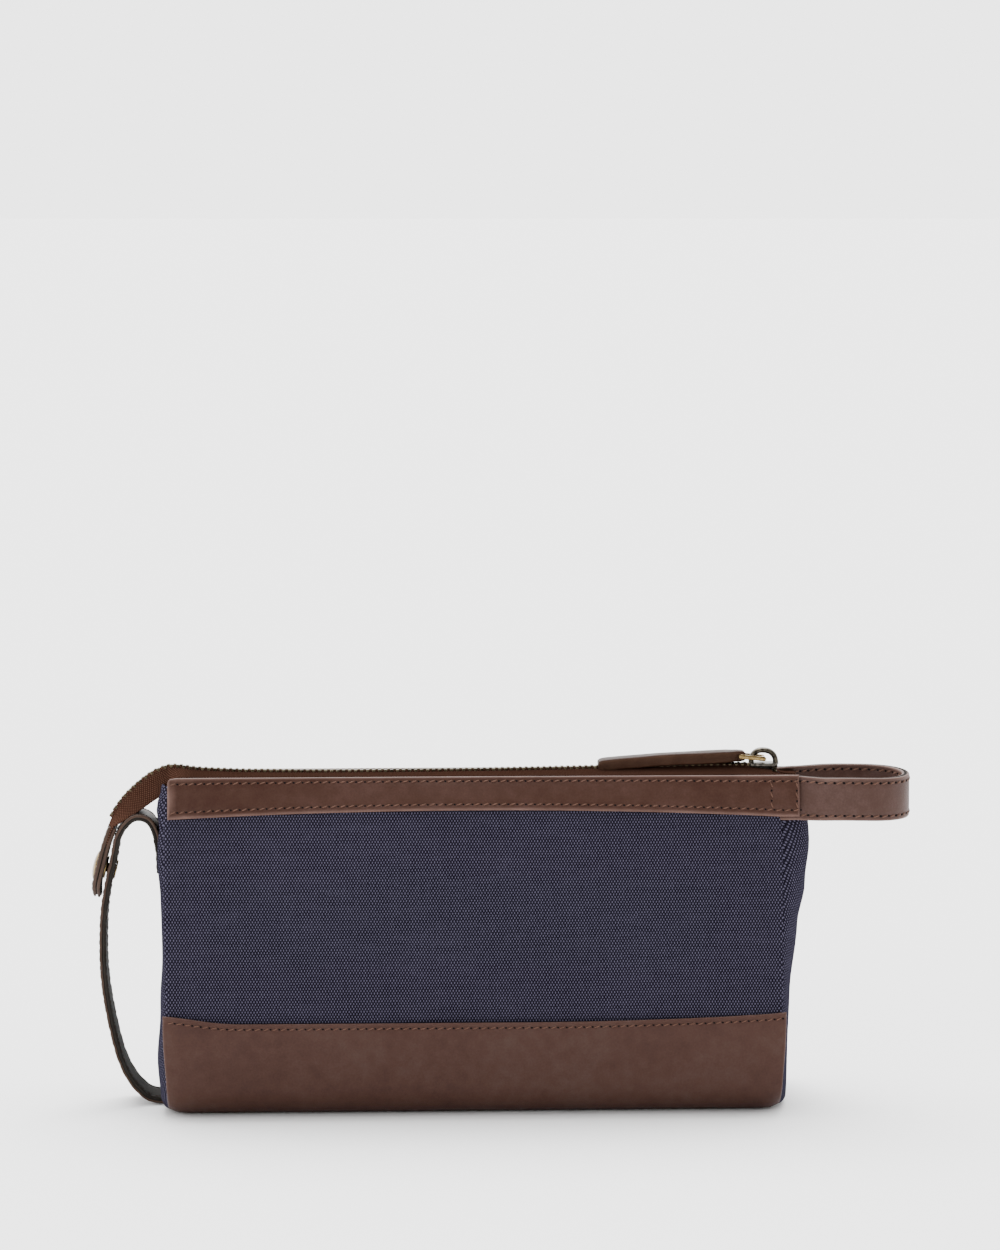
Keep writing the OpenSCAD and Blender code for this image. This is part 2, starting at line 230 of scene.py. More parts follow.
def routeOf(points):  # a route by its length: at(s) gives the point and the heading, and length is its end
    total = [0.0]
    for p, q in zip(points, points[1:]):
        total.append(total[-1] + (q - p).length)

    def at(s):
        i = 0
        while i < len(total) - 2 and total[i + 1] < s:
            i += 1
        t = (s - total[i]) / max(total[i + 1] - total[i], 1e-9)
        before = (points[min(i + 1, len(points) - 1)] - points[max(i - 1, 0)]).normalized()
        after = (points[min(i + 2, len(points) - 1)] - points[i]).normalized()
        return points[i].lerp(points[i + 1], t), before.lerp(after, clamped(t)).normalized()

    return at, total[-1]


def ridePiece(piece, body, slot, *nodes):
    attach(piece, body)
    if nodes:
        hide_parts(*nodes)
    return piece


def bendPiece(piece, bodies, start, end, slot, *nodes):
    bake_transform(piece)
    if nodes:
        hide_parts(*nodes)
    return piece


# Material helpers

def linearColour(hexText):
    out = []
    for i in (1, 3, 5):
        c = int(hexText[i:i + 2], 16) / 255
        out.append(c / 12.92 if c <= 0.04045 else ((c + 0.055) / 1.055) ** 2.4)
    return (*out, 1.0)


def addNode(tree, kind, links=None, **settings):
    node = tree.nodes.new(kind)
    for key, value in settings.items():
        setattr(node, key, value)
    for key, value in (links or {}).items():
        if isinstance(value, bpy.types.NodeSocket):
            tree.links.new(value, node.inputs[key])
        else:
            node.inputs[key].default_value = value
    return node


def newMaterial(name, **sockets):
    material = bpy.data.materials.new(name)
    material.use_nodes = True
    tree = material.node_tree
    shader = tree.nodes["Principled BSDF"]
    for key, value in sockets.items():
        shader.inputs[key.replace("_", " ")].default_value = value
    return material, tree, shader


def maths(tree, operation, a, b=0.0):
    return addNode(tree, "ShaderNodeMath", {0: a, 1: b}, operation=operation).outputs[0]


def tones(tree, factor, *stops):  # colour by a factor, from pairs of place and hex colour
    ramp = addNode(tree, "ShaderNodeValToRGB", {"Fac": factor})
    while len(ramp.color_ramp.elements) < len(stops):
        ramp.color_ramp.elements.new(0.5)
    for element, (place, colour) in zip(ramp.color_ramp.elements, stops):
        element.position = place
        element.color = linearColour(colour)
    return ramp.outputs["Color"]


def blendColour(tree, factor, a, b):
    node = addNode(tree, "ShaderNodeMix", {0: factor, 6: a, 7: b}, data_type="RGBA", blend_type="MIX")
    return node.outputs[2]


def millimetres(tree):  # object coordinates in millimetres
    place = addNode(tree, "ShaderNodeTexCoord").outputs["Object"]
    return addNode(tree, "ShaderNodeVectorMath", {0: place, "Scale": 1 / mm}, operation="SCALE").outputs[0]


def noiseOf(tree, place, size, detail=3.0, stretch=(1, 1, 1)):
    scale = tuple(s / size for s in stretch)
    moved = addNode(tree, "ShaderNodeMapping", {"Vector": place, "Scale": scale}).outputs[0]
    return addNode(tree, "ShaderNodeTexNoise",
                   {"Vector": moved, "Scale": 1.0, "Detail": detail}).outputs["Fac"]


def bumped(tree, shader, height, depth, strength=1.0):
    # Depth is the relief's real height in millimetres.
    bump = addNode(tree, "ShaderNodeBump", {"Height": height, "Distance": depth * mm, "Strength": strength})
    tree.links.new(bump.outputs[0], shader.inputs["Normal"])
    return bump


def mixedValue(tree, factor, low, high):
    return addNode(tree, "ShaderNodeMapRange", {0: factor, 3: low, 4: high}).outputs[0]


def weaveMaterial(name, dark, light, spacing, relief, roughness, slub=0.13, faded=0.0):
    # Plain-woven cloth: matt, with a light speck where each weft thread crosses over.
    material, tree, shader = newMaterial(name, Roughness=roughness)
    shader.inputs["Specular IOR Level"].default_value = 0.0
    place = addNode(tree, "ShaderNodeUVMap", uv_map="UVMap").outputs[0]
    wobble = addNode(tree, "ShaderNodeTexNoise",
                     {"Vector": place, "Scale": 0.35, "Detail": 2.0}).outputs["Color"]
    place = addNode(tree, "ShaderNodeVectorMath", {0: wobble, 1: (0.5, 0.5, 0.5), 2: place},
                    operation="MULTIPLY_ADD").outputs[0]
    axes = addNode(tree, "ShaderNodeSeparateXYZ", {0: place})
    warp, weft = (maths(tree, "DIVIDE", axes.outputs[i], spacing[i]) for i in (0, 1))
    warpRound, weftRound = (maths(tree, "ABSOLUTE",
                                  maths(tree, "SINE", maths(tree, "MULTIPLY", t, math.pi)))
                            for t in (warp, weft))
    cells = maths(tree, "ADD", maths(tree, "FLOOR", warp), maths(tree, "FLOOR", weft))
    over = maths(tree, "PINGPONG", cells, 1.0)
    crown = maths(tree, "MULTIPLY", warpRound, weftRound)
    thread = maths(tree, "MULTIPLY", maths(tree, "POWER", crown, 0.6), mixedValue(tree, over, 0.18, 1.0))
    slubs = noiseOf(tree, place, spacing[1] * 2.2, 2.0, (0.12, 1, 1))
    threads = noiseOf(tree, place, spacing[0] * 1.6, 1.0, (1, 0.1, 1))
    tone = maths(tree, "ADD", thread, maths(tree, "MULTIPLY", maths(tree, "SUBTRACT", slubs, 0.5), slub))
    tone = maths(tree, "ADD", tone,
                 maths(tree, "MULTIPLY", maths(tree, "SUBTRACT", threads, 0.5), slub * 0.7))
    patches = noiseOf(tree, millimetres(tree), 38.0, 3.0)
    tone = maths(tree, "ADD", tone, maths(tree, "MULTIPLY", maths(tree, "SUBTRACT", patches, 0.5), 0.06))
    colour = tones(tree, tone, (0.05, dark), (0.85, light))
    if faded:  # colour is scaled from 1 at x -118 up to this gain at x -134 and beyond
        across = addNode(tree, "ShaderNodeSeparateXYZ", {0: millimetres(tree)}).outputs[0]
        gain = addNode(tree, "ShaderNodeMapRange",
                       {0: across, 1: -118.0, 2: -134.0, 3: 1.0, 4: faded}).outputs[0]
        colour = addNode(tree, "ShaderNodeVectorMath", {0: colour, "Scale": gain},
                         operation="SCALE").outputs[0]
    tree.links.new(colour, shader.inputs["Base Color"])
    bumped(tree, shader, thread, relief, 0.8)
    return material


def leatherMaterial(name, dark, mid, light, wornAndSheenTone, roughness=0.5, grain=0.5, specular=0.13, wearAndSheenGain=0.55):
    # Full-grain leather, waxed by hand: fine pores, cloudy tone and a soft gloss, paler where edges rub and
    # where highlights are painted in.
    material, tree, shader = newMaterial(name, Roughness=roughness)
    shader.inputs["Specular IOR Level"].default_value = specular
    place = millimetres(tree)
    clouds = noiseOf(tree, place, 34.0, 4.0)
    mottle = noiseOf(tree, place, 5.0, 4.0)
    flecks = noiseOf(tree, place, 0.8, 2.0)
    tone = maths(tree, "ADD", maths(tree, "MULTIPLY", clouds, 0.42), maths(tree, "MULTIPLY", mottle, 0.34))
    tone = maths(tree, "ADD", tone, maths(tree, "MULTIPLY", flecks, 0.24))
    colour = tones(tree, tone, (0.3, dark), (0.5, mid), (0.72, light))
    # The wear attribute pales the colour towards the fourth tone: real edge wear together with painted
    # highlights on edges and in patches.
    wear = addNode(tree, "ShaderNodeAttribute", attribute_name="wear").outputs["Fac"]
    rubbedAndSheen = maths(tree, "MULTIPLY", wear, mixedValue(tree, noiseOf(tree, place, 9.0, 3.0), 0.2, 1.0))
    colour = blendColour(tree, maths(tree, "MULTIPLY", rubbedAndSheen, wearAndSheenGain), colour, linearColour(wornAndSheenTone))
    tree.links.new(colour, shader.inputs["Base Color"])
    scale = addNode(tree, "ShaderNodeMapping", {"Vector": place, "Scale": (1 / grain,) * 3}).outputs[0]
    cells = addNode(tree, "ShaderNodeTexVoronoi", {"Vector": scale, "Scale": 1.0},
                    feature="DISTANCE_TO_EDGE").outputs[0]
    creases = maths(tree, "POWER", maths(tree, "MINIMUM", maths(tree, "MULTIPLY", cells, 3.0), 1.0), 0.5)
    height = maths(tree, "ADD", creases, maths(tree, "MULTIPLY", noiseOf(tree, place, 2.2, 3.0), 1.2))
    bumped(tree, shader, height, 0.035, 0.9)
    gloss = maths(tree, "ADD", mixedValue(tree, noiseOf(tree, place, 12.0, 4.0), -0.09, 0.09), roughness)
    tree.links.new(gloss, shader.inputs["Roughness"])
    return material


def metalMaterial(name, colour, stain, roughness, brushed=0.6):
    # Plated zinc alloy, tumbled smooth: bright in random patches, darker where the plating has dulled.
    material, tree, shader = newMaterial(name, Metallic=1.0, Roughness=roughness)
    place = millimetres(tree)
    dull = noiseOf(tree, place, 1.6, 4.0)
    tree.links.new(tones(tree, dull, (0.3, stain), (0.62, colour)), shader.inputs["Base Color"])
    tree.links.new(mixedValue(tree, noiseOf(tree, place, 0.7, 3.0), roughness - 0.08, roughness + 0.12),
                   shader.inputs["Roughness"])
    bumped(tree, shader, noiseOf(tree, place, 0.25, 2.0, (1, brushed, 1)), 0.008)
    return material


def threadMaterial(name, dark, light):
    # Waxed polyester thread, twisted from plies: a tight slanting ripple and a low gloss.
    material, tree, shader = newMaterial(name, Roughness=0.55)
    shader.inputs["Specular IOR Level"].default_value = 0.13
    place = millimetres(tree)
    turned = addNode(tree, "ShaderNodeMapping", {"Vector": place, "Rotation": (0.5, 0.9, 0.4)}).outputs[0]
    plies = addNode(tree, "ShaderNodeTexWave",
                    {"Vector": turned, "Scale": 0.9, "Distortion": 0.6}).outputs["Fac"]
    tree.links.new(tones(tree, plies, (0.1, dark), (0.9, light)), shader.inputs["Base Color"])
    bumped(tree, shader, plies, 0.06)
    return material


def plainMaterial(name, dark, light, size, roughness, relief):
    material, tree, shader = newMaterial(name, Roughness=roughness)
    shader.inputs["Specular IOR Level"].default_value = 0.1
    specks = noiseOf(tree, millimetres(tree), size, 4.0)
    tree.links.new(tones(tree, specks, (0.3, dark), (0.7, light)), shader.inputs["Base Color"])
    bumped(tree, shader, specks, relief)
    return material


canvas = weaveMaterial("waxedCottonCanvas", "#05030a", "#4d4a5a", (0.62, 1.05), 0.16, 0.82)
liningCloth = weaveMaterial("cottonTwillLining", "#211911", "#42382d", (0.45, 0.5), 0.06, 0.85)
tapeCloth = weaveMaterial("polyesterZipTape", "#190c07", "#382720", (0.55, 0.8), 0.12, 0.72, faded=2.1)
# Each leather's fourth colour is the paler tone shared by worn edges and painted highlights.
leather = leatherMaterial("waxedCowhide", "#321d18", "#3c261f", "#42302a", "#58433d")
bandLeather = leatherMaterial("waxedCowhideBand", "#2d160e", "#37221a", "#432d27", "#745b53", wearAndSheenGain=0.85)
loopLeather = leatherMaterial("waxedCowhideLoop", "#35201a", "#3e2b25", "#4b3733", "#6d554c", wearAndSheenGain=0.75)
strapLeather = leatherMaterial("waxedCowhideStrap", "#1d1008", "#2d2019", "#3a2c24", "#513f35")
pullLeather = leatherMaterial("burnishedPullHide", "#1a0a01", "#2a1810", "#38261c", "#60493b", 0.4, 0.35,
                              specular=0.04)
fleshSide = leatherMaterial("sheepskinStrapLining", "#0f0b09", "#1b1816", "#262320", "#34302c", 0.75, 0.8,
                            0.05)
cutEdge = plainMaterial("paintedCutEdge", "#27150d", "#4c382f", 1.2, 0.5, 0.05)
tan = threadMaterial("waxedTanThread", "#34221b", "#715244")
darkThread = threadMaterial("waxedBrownThread", "#190c05", "#3f3028")
# The needle-hole material is painted shade: near black, standing in for the shade inside each pit.
holeShade = plainMaterial("needleHoleShade", "#040202", "#0c0909", 0.5, 0.9, 0.01)
teethBrass = metalMaterial("antiqueBrassTeeth", "#504738", "#19150f", 0.34)
crownMetal = metalMaterial("darkBronzeCrown", "#48433a", "#1d1915", 0.3)
sliderMetal = metalMaterial("antiqueNickelSlider", "#5c5852", "#292522", 0.28)
paleBrass = metalMaterial("paleBrassPlate", "#84704c", "#594729", 0.24)
fibreboard = plainMaterial("greyFibreboard", "#514739", "#695d49", 2.5, 0.85, 0.08)
print("materials made")


# Stitches and teeth are Geometry Nodes trees that put one small shape along a chain of points

def treeWithSockets(name, sockets):
    tree = bpy.data.node_groups.new(name, "GeometryNodeTree")
    tree.interface.new_socket("Geometry", in_out="OUTPUT", socket_type="NodeSocketGeometry")
    tree.interface.new_socket("Geometry", in_out="INPUT", socket_type="NodeSocketGeometry")
    for label, kind, value in sockets:
        socket = tree.interface.new_socket(label, in_out="INPUT", socket_type="NodeSocket" + kind)
        if value is not None:
            socket.default_value = value
    return tree, addNode(tree, "NodeGroupInput").outputs


# points a pitch apart, each with a rotation: z out of the surface, x along the row
def pointsAlong(tree, given):
    line = addNode(tree, "GeometryNodeMeshToCurve", {0: given["Geometry"]})
    line = addNode(tree, "GeometryNodeResampleCurve", {"Curve": line.outputs[0], "Length": given["Pitch"]},
                   mode="LENGTH")
    dots = addNode(tree, "GeometryNodeCurveToPoints", {0: line.outputs[0]}, mode="EVALUATED")
    up = addNode(tree, "GeometryNodeInputNamedAttribute", {"Name": "up"},
                 data_type="FLOAT_VECTOR").outputs[0]
    turned = addNode(tree, "FunctionNodeAxesToRotation", {0: up, 1: dots.outputs["Tangent"]},
                     primary_axis="Z", secondary_axis="X").outputs[0]
    return dots.outputs["Points"], turned, up, dots.outputs["Tangent"]


def shifted(tree, dots, direction, amount):
    offset = addNode(tree, "ShaderNodeVectorMath", {0: direction, "Scale": amount},
                     operation="SCALE").outputs[0]
    return addNode(tree, "GeometryNodeSetPosition", {"Geometry": dots, "Offset": offset}).outputs[0]


def placed(tree, dots, shape, rotation, size, material):
    put = addNode(tree, "GeometryNodeInstanceOnPoints",
                  {"Points": dots, "Instance": shape, "Rotation": rotation, "Scale": size})
    real = addNode(tree, "GeometryNodeRealizeInstances", {0: put.outputs[0]})
    return addNode(tree, "GeometryNodeSetMaterial",
                   {"Geometry": real.outputs[0], "Material": material}).outputs[0]


def stitchTree():
    tree, given = treeWithSockets("stitchRow", [
        ("Pitch", "Float", 0.0036), ("Length", "Float", 0.003), ("Thread", "Float", 0.0008),
        ("Slant", "Float", 0.2), ("Thread Material", "Material", None),
                                                ("Hole Material", "Material", None)])
    dots, rotation, up, tangent = pointsAlong(tree, given)
    slant = addNode(tree, "FunctionNodeEulerToRotation",
                    {0: addNode(tree, "ShaderNodeCombineXYZ", {2: given["Slant"]}).outputs[0]}).outputs[0]
    leaning = addNode(tree, "FunctionNodeRotateRotation", {0: rotation, 1: slant},
                      rotation_space="LOCAL").outputs[0]
    ball = addNode(tree, "GeometryNodeMeshIcoSphere", {"Radius": 0.5, "Subdivisions": 2}).outputs[0]
    ball = addNode(tree, "GeometryNodeSetShadeSmooth", {"Geometry": ball}).outputs[0]
    size = addNode(tree, "ShaderNodeCombineXYZ",
                   {0: given["Length"], 1: given["Thread"], 2: given["Thread"]}).outputs[0]
    low = maths(tree, "MULTIPLY", given["Thread"], 0.12)
    threads = placed(tree, shifted(tree, dots, up, low), ball, leaning, size, given["Thread Material"])
    # Each needle hole is a near-black blob between stitches, painted shade for the pit.
    pit = addNode(tree, "ShaderNodeVectorMath",
                  {0: addNode(tree, "ShaderNodeCombineXYZ", {0: 1.55, 1: 1.4, 2: 0.65}).outputs[0],
                   "Scale": given["Thread"]}, operation="SCALE").outputs[0]
    between = shifted(tree, dots, tangent, maths(tree, "MULTIPLY", given["Pitch"], 0.5))
    holes = placed(tree, between, ball, rotation, pit, given["Hole Material"])
    both = addNode(tree, "GeometryNodeJoinGeometry")
    tree.links.new(threads, both.inputs[0])
    tree.links.new(holes, both.inputs[0])
    addNode(tree, "NodeGroupOutput", {0: both.outputs[0]})
    return tree


def teethTree():
    tree, given = treeWithSockets("teethRow", [
        ("Pitch", "Float", 0.0025), ("Tooth Length", "Float", 0.0014), ("Tooth Reach", "Float", 0.003),
        ("Tooth Height", "Float", 0.0026), ("Tooth Material", "Material", None)])
    dots, rotation = pointsAlong(tree, given)[:2]
    block = addNode(tree, "GeometryNodeMeshCube", {"Size": (1.0, 1.0, 1.0)}).outputs[0]
    block = addNode(tree, "GeometryNodeSubdivisionSurface",
                    {"Mesh": block, "Level": 2, "Edge Crease": 0.55}).outputs[0]
    block = addNode(tree, "GeometryNodeSetShadeSmooth", {"Geometry": block}).outputs[0]
    size = addNode(tree, "ShaderNodeCombineXYZ",
                   {0: given["Tooth Length"], 1: given["Tooth Reach"], 2: given["Tooth Height"]}).outputs[0]
    addNode(tree, "NodeGroupOutput",
            {0: placed(tree, dots, block, rotation, size, given["Tooth Material"])})
    return tree


def alongRows(name, rows, tree, settings):
    # Rows are lists of (point, outward direction) in millimetres. Gives a plain mesh piece.
    points, ups, edges = [], [], []
    for row in rows:
        first = len(points)
        points += [Vector(p) * mm for p, n in row]
        ups += [n for p, n in row]
        edges += [(i, i + 1) for i in range(first, first + len(row) - 1)]
    mesh = bpy.data.meshes.new(name + "Path")
    mesh.from_pydata(points, edges, [])
    attribute = mesh.attributes.new("up", "FLOAT_VECTOR", "POINT")
    attribute.data.foreach_set("vector", [c for n in ups for c in n])
    path = bpy.data.objects.new(name + "Path", mesh)
    bpy.context.scene.collection.objects.link(path)
    modifier = path.modifiers.new("rows", "NODES")
    modifier.node_group = tree
    for item in tree.interface.items_tree:
        if item.in_out == "INPUT" and item.name in settings:
            modifier[item.identifier] = settings[item.name]
    done = path.evaluated_get(bpy.context.evaluated_depsgraph_get())
    result = bpy.data.meshes.new_from_object(done)
    result.name = name
    path.modifiers.clear()
    bpy.data.objects.remove(path)
    piece = bpy.data.objects.new(name, result)
    bpy.context.scene.collection.objects.link(piece)
    return piece


stitch = {"pitch": 3.7, "length": 2.5, "thread": 0.56, "slant": 0.36}  # millimetres and radians
rowTree, toothTree = stitchTree(), teethTree()


def stitches(name, rows, body, slot, pitch=stitch["pitch"], thread=tan, wide=stitch["thread"],
             long=stitch["length"]):
    piece = alongRows(name, rows, rowTree, {
        "Pitch": pitch * mm, "Length": long * mm, "Thread": wide * mm, "Slant": stitch["slant"],
        "Thread Material": thread, "Hole Material": holeShade})
    if body:
        ridePiece(piece, body, slot)
    return piece


def rowOn(mid, route, lift, turn=1):  # a row over a surface, from a list of (u, v) places
    return [(mid(u, v) + normalAt(mid, u, v) * turn * lift, normalAt(mid, u, v) * turn) for u, v in route]


def span(low, high, step=1.5):
    count = max(2, math.ceil((high - low) / step))
    return [low + (high - low) * i / count for i in range(count + 1)]


# Canvas body: front and rear walls, end gussets


def clothPiece(piece, slot, node, *restsOn):
    ridePiece(piece, "bag", slot, node)


canvasFit = {"low": 30, "high": 132.5, "step": 4, "seamRoll": 1.9, "sag": 0.55}


def canvasWall(side):
    def mid(u, v):
        x = u * endX(v) / bag["halfLength"]
        out = wallHalf(x, v) - bag["canvas"] / 2
        out += canvasFit["sag"] * (wander(x, side * 50, v, 46) + 0.35 * wander(x, side * 90, v, 17))
        out -= rounded(max(0.0, bag["halfLength"] - abs(u)), canvasFit["seamRoll"]) * 0.9
        return Vector((x, side * out, v))
    return mid


def canvasWalls():
    us = spread(-bag["halfLength"], bag["halfLength"], canvasFit["step"], (0.3, 0.8, 1.5, 2.6))
    vs = spread(canvasFit["low"], canvasFit["high"], canvasFit["step"])
    for side, name, node in ((-1, "frontCanvas", "front_panel"), (1, "rearCanvas", "rear_panel")):
        mid = canvasWall(side)
        piece = sheetPiece(name, mid, us, vs, bag["canvas"], [canvas] * 3, -side,
                           uvOf=lambda p, u, v: (p.x, v))
        clothPiece(piece, "navy_canvas", node, "base_cover")


leftBulge = [(2, 2.3), (6, 3.6), (22, 4.7), (43, 3.4), (65, 2.0), (90, 2.3), (105, 3.3), (127, 3.5),
             (134, 1.6), (139.4, 0)]
rightBulge = [(2, 5.0), (24, 5.6), (48, 6.5), (76, 8.9), (93, 11.8), (110, 13.5), (122, 12.9), (131, 9),
              (139.4, 0.6)]
gussetFit = {"low": 2.3, "high": 139.2, "step": 3.5, "seamGap": 1.1, "valley": 2.6, "span": 30}


def gussetWall(side, inset=0.0):
    bulge = leftBulge if side < 0 else rightBulge

    def mid(u, v):  # u runs from one seam to the other
        w = u / gussetFit["span"]
        half = wallHalf(bag["halfLength"], v) - gussetFit["seamGap"] * eased((v - 26) / 8) - inset
        y = w * half
        out = endX(v) - 0.7 - inset + lookup(bulge, v) * (1 - abs(w) ** (7 if side < 0 else 2.6))
        if side < 0:  # the side strap's sewn end draws the cloth in
            out -= 2.6 * eased((14.5 - abs(y)) / 3) * eased((v - 92) / 7) * eased((124 - v) / 7)
        out -= gussetFit["valley"] * math.exp(-(1 - min(1, abs(w))) * half / 1.3)
        out += 0.6 * wander(side * 200, y, v, 24) * (1 - w * w)
        return Vector((side * out, y, v))
    return mid


def gussets():
    us = spread(-gussetFit["span"], gussetFit["span"], 2.5, (0.5, 1.2, 2.2, 3.4))
    for side, name, node in ((-1, "leftGusset", "left_gusset"), (1, "rightGusset", "right_gusset")):
        top = gussetFit["high"] - (3.0 if side < 0 else 0)
        piece = sheetPiece(name, gussetWall(side), us, spread(gussetFit["low"], top, gussetFit["step"]),
                           bag["canvas"],
                           [canvas] * 3, side, uvOf=lambda p, u, v: (p.y, v))
        clothPiece(piece, "navy_canvas", node, "base_cover")


def linings():
    low, gap = 6.0, bag["canvas"] + 0.2
    us = spread(-bag["halfLength"] + 2.2, bag["halfLength"] - 2.2, 6)
    vs = spread(low, 137.5, 5)
    for side, name, node, wall in ((-1, "frontLining", "front_lining", "front_panel"),
                                   (1, "rearLining", "rear_lining", "rear_panel")):
        def mid(u, v, side=side):
            out = wallHalf(u, v) - gap - bag["lining"] / 2 - 0.9 + 0.7 * wander(u, side * 30, v, 30)
            return Vector((u * endX(v) / bag["halfLength"], side * out, v))
        piece = sheetPiece(name, mid, us, vs, bag["lining"], [liningCloth] * 3, side, uvOf=lambda p, u,
                           v: (p.x, v))
        clothPiece(piece, "lining", node, wall)
    for side, name, node, wall in ((-1, "leftLining", "left_lining", "left_gusset"),
                                   (1, "rightLining", "right_lining", "right_gusset")):
        piece = sheetPiece(name, gussetWall(side, gap + 0.8), spread(-29, 29, 4), spread(low, 137, 5),
                           bag["lining"],
                           [liningCloth] * 3, side, uvOf=lambda p, u, v: (p.y, v))
        clothPiece(piece, "lining", node, wall)
    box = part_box("base_lining")
    height = (box[0].z + box[1].z) / 2 / mm
    mid = lambda u, v: Vector((u, v, height + 0.25 + 0.3 * wander(u, v, 0, 25)))
    piece = sheetPiece("baseLining", mid, spread(box[0].x / mm, box[1].x / mm, 6),
                       spread(box[0].y / mm, box[1].y / mm, 5),
                       bag["lining"], [liningCloth] * 3)
    clothPiece(piece, "lining", "base_lining", "base_board")


# Base cover: one piece of leather up the front, under and up the back

base = {"half": 41, "corner": 14, "end": 128.9, "leftRise": 3.4, "rightRise": 3.2, "row": 2.2, "pitch": 3.6,
        "tuck": 6.5}


def baseTop(x):  # the cover's upper edge climbs towards the ends
    left = eased((-x - 92) / 38) ** 1.6 * base["leftRise"]
    right = clamped((x - 25) / 105) ** 2 * base["rightRise"]
    return bag["baseHeight"] - 0.2 + left + right


def baseMid(u, v):  # v runs down the front, under, and up the back
    half, r = base["half"] - bag["leather"] / 2, base["corner"] - bag["leather"] / 2
    flat = 2 * (base["half"] - base["corner"])
    rise, bend = 26.0, r * math.pi / 2
    top = baseTop(u)
    along = v if v <= rise + bend + flat / 2 else 2 * (rise + bend) + flat - v
    side = -1 if v <= rise + bend + flat / 2 else 1
    if along < rise:
        y, z = half, mixed(top, base["corner"], along / rise)
    elif along < rise + bend:
        a = (along - rise) / r
        y, z = half - r + r * math.cos(a), base["corner"] - r * math.sin(a)
    else:
        y, z = half - r - (along - rise - bend), base["corner"] - r
    y += (0.35 * wander(u, side * 40, z, 40) * clamped((z - 4) / 10)
          + 0.5 * clamped((z - 8) / 30) * (1 - (u / 130) ** 2))
    e = clamped((abs(u) - base["end"] + base["tuck"]) / base["tuck"]) ** 2
    z += 2.3 * e * (1 - z / 44)
    return Vector((u * mixed(0.996, 1.0115, eased(z / 38)), side * y * (1 - 0.022 * e), z))


def baseCover():
    total = 2 * (26 + (base["corner"] - 0.9) * math.pi / 2) + 2 * (base["half"] - base["corner"])
    row = base["row"]
    us = spread(-base["end"], base["end"], 4)
    arc = span(26, 26 + 20.6, 2.0)
    mids = sorted(set([round(a, 3) for a in arc] + [round(total - a, 3) for a in arc]))
    near = [0, 0.12, 0.35, 0.7, 1.2, row - 0.5, row, row + 0.5, row + 1.2, 6, 10, 14, 18, 22]
    vs = sorted(set(near + [total - v for v in near] + mids + [total / 2 - 15, total / 2, total / 2 + 15]))
    dent = lambda u, v: 0.2 * math.exp(-(min(abs(v - row), abs(total - v - row)) / 0.45) ** 2)
    piece = sheetPiece("baseCover", baseMid, us, vs, bag["leather"], [leather, cutEdge, fleshSide], -1,
                       dent=dent)
    ridePiece(piece, "bag", "brown_leather", "base_cover")
    rows = [rowOn(baseMid, [(u, v) for u in span(-125.5, 125.5)], bag["leather"] / 2 - 0.1, -1)
            for v in (row, total - row)]
    stitches("baseStitches", rows, "bag", "brown_leather", base["pitch"])


# Bands along the mouth

band = {"left": -128.6, "right": 137.8, "row": 2.2, "height": 14.0, "corner": 2.6, "tacks": (126.0, 136.7)}


def bandMid(side):
    def mid(u, v):
        t = v / band["height"]
        z = mixed(seamHeight(u) + 0.3, bag["height"] - 0.1, t)
        nearLeft = rounded(max(0.0, u - band["left"]), band["corner"])
        z -= nearLeft * clamped(t) ** 3 * 0.9
        out = wallHalf(u, z) + 0.2 + bag["leather"] / 2 + 0.22 * wander(u, side * 70, z, 30)
        out += 0.35 * eased((u - 124) / 6) * (1 - eased((u - 137) / 2)) * math.sin(math.pi * clamped(t))
        return Vector((u, side * out, z))
    return mid


def bands():
    row, height = band["row"], band["height"]
    us = sorted(spread(band["left"], band["right"], 4)
                + [x + d for x in band["tacks"] for d in (-0.5, 0, 0.5)
                                                         if x + d < band["right"] - 1.3 or d == 0])
    us = sorted(set(round(u, 3) for u in us))
    vs = [0, 0.12, 0.35, 0.7, 1.2, row - 0.5, row, row + 0.5, 4.5, 7, 9.5,
          height - row - 0.5, height - row, height - row + 0.5, height - 1.2, height - 0.7, height - 0.35,
          height - 0.12, height]

    def dent(u, v):
        d = min(abs(v - row), abs(height - row - v))
        if row < v < height - row:
            d = min([d] + [abs(u - x) for x in band["tacks"]])
        return 0.2 * math.exp(-(d / 0.45) ** 2)

    def rubbedAndSheen(u, v):  # painted highlight: a paler gloss patch near each end of the band, mixed in as the worn tone
        across = math.sin(math.pi * clamped(v / height))
        return 1.5 * across * math.exp(-((u + 122.5) / 6) ** 2) + 0.5 * across * math.exp(-((u
                - 116) / 9) ** 2)

    for side, name, node in ((-1, "frontBand", "front_band"), (1, "rearBand", "rear_band")):
        mid = bandMid(side)
        turn = -side
        piece = sheetPiece(name, mid, us, vs, bag["leather"], [bandLeather, cutEdge, fleshSide], turn,
                           dent=dent, rubbedAndSheen=rubbedAndSheen)
        ridePiece(piece, "bag", "brown_leather", node)
        lift = bag["leather"] / 2 - 0.1
        rows = [rowOn(mid, [(u, v) for u in span(band["left"] + 2.4, band["right"] - 1.4)], lift, turn)
                for v in (row, height - row)]
        rows += [rowOn(mid, [(x, v) for v in span(row + 1.5, height - row - 1.2)], lift, turn)
                 for x in band["tacks"]]
        stitches(name + "Stitches", rows, "bag", "brown_leather", 3.75)


# Zip: one line for the whole chain, flat along the mouth, over a hump and down the tail

